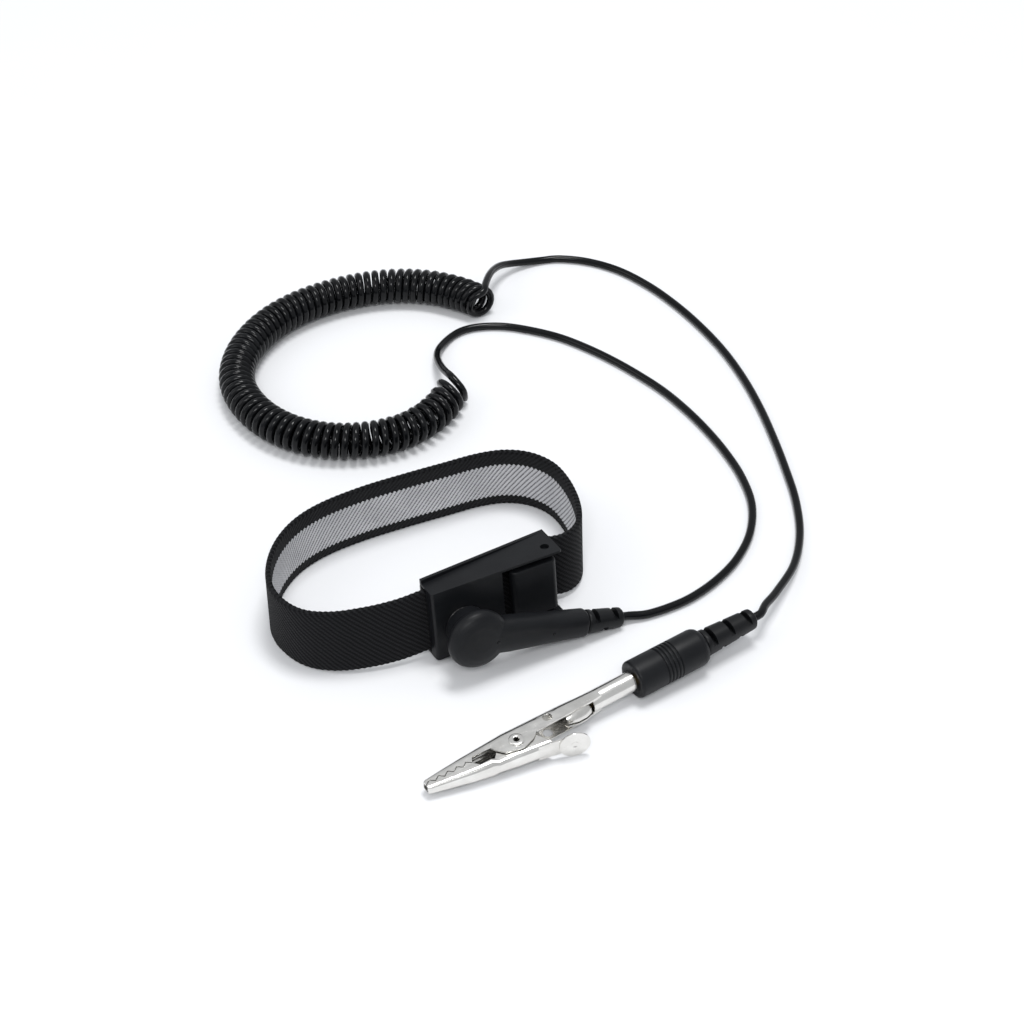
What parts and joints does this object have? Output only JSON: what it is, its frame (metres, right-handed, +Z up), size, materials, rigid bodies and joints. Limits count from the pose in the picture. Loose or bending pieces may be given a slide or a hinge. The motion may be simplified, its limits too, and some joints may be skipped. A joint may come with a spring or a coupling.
{
  "type": "anti-static wrist strap",
  "caption": "Elastic wrist band with a lever buckle and skin contact plate, a snap connector with resistor, a coiled earth lead and a plug-on alligator clip.",
  "frame": {"origin": "on the floor, under the centre of the box round the strap itself: the band, its buckle and its lever", "axes": "+Z up, +X along the long way of the wrist loop from the riveted side towards the lever side, +Y from the buckle into the wrist space"},
  "size_m": [0.1645, 0.1979, 0.0217],
  "materials": {
    "band_knit": "black elastic knit, with a silver conductive stripe inside",
    "housing_plastic": "satin black moulded plastic",
    "cord_jacket": "glossy black jacket",
    "stainless": "plain steel",
    "nickel": "bright nickel plate",
    "brass": "turned brass",
    "spring_steel": "bright spring wire",
    "resistor_body": "lacquered resistor body",
    "copper": "bare copper"
  },
  "bodies": {
    "lead": {"connector_housing": "housing_plastic", "connector_back": "housing_plastic", "snap_socket": "nickel", "resistor": "resistor_body", "resistor_wire_socket_side": "copper", "resistor_wire_cord_side": "copper", "core_strap_side": "copper", "strain_relief_strap": "housing_plastic", "lead_strap_side": "cord_jacket", "coil": "cord_jacket", "lead_plug_side": "cord_jacket", "core_plug_side": "copper", "strain_relief_plug": "housing_plastic", "plug_grip": "housing_plastic", "banana_pin": "brass"},
    "socket_ring": {"socket_spring_ring": "spring_steel"},
    "strap": {"band": "band_knit", "buckle_frame": "housing_plastic", "skin_contact_plate": "stainless", "snap_stud": "nickel", "stud_rivet": "nickel", "hinge_pin": "housing_plastic"},
    "lever": {"cam_lever": "housing_plastic"},
    "banana_sleeve": {"banana_spring": "spring_steel"},
    "clip": {"clip_upper_jaw": "nickel", "clip_rivet": "nickel", "clip_spring": "spring_steel"},
    "lower_jaw": {"clip_lower_jaw": "nickel"}
  },
  "joints": [
    {"name": "strap_swivel", "type": "hinge", "parent": "lead", "child": "socket_ring", "pos_m": [-0.00243, -0.02305, 0.01053], "axis": [0, -0.9903, 0.1392], "continuous": true},
    {"name": "strap_unsnap", "type": "slide", "parent": "socket_ring", "child": "strap", "axis": [0, 0.9903, -0.1392], "range_m": [0, 0.008]},
    {"name": "cam_lever", "type": "hinge", "parent": "strap", "child": "lever", "pos_m": [0.02297, -0.01934, 0.01102], "axis": [0, 0.1392, 0.9903], "range_deg": [0, 18]},
    {"name": "clip_turn", "type": "hinge", "parent": "lead", "child": "banana_sleeve", "pos_m": [0.02747, -0.0553, 0.00495], "axis": [-0.9936, -0.1044, -0.0419], "continuous": true},
    {"name": "clip_pull", "type": "slide", "parent": "banana_sleeve", "child": "clip", "axis": [-0.9936, -0.1044, -0.0419], "range_m": [0, 0.012]},
    {"name": "clip_jaw", "type": "hinge", "parent": "clip", "child": "lower_jaw", "pos_m": [-0.00729, -0.06102, 0.00348], "axis": [-0.0417, -0.0044, 0.9991], "range_deg": [0, 18], "stiffness_Nm_per_rad": 0.02, "springref_deg": -28.65, "deforming": ["clip_spring"]}
  ]
}
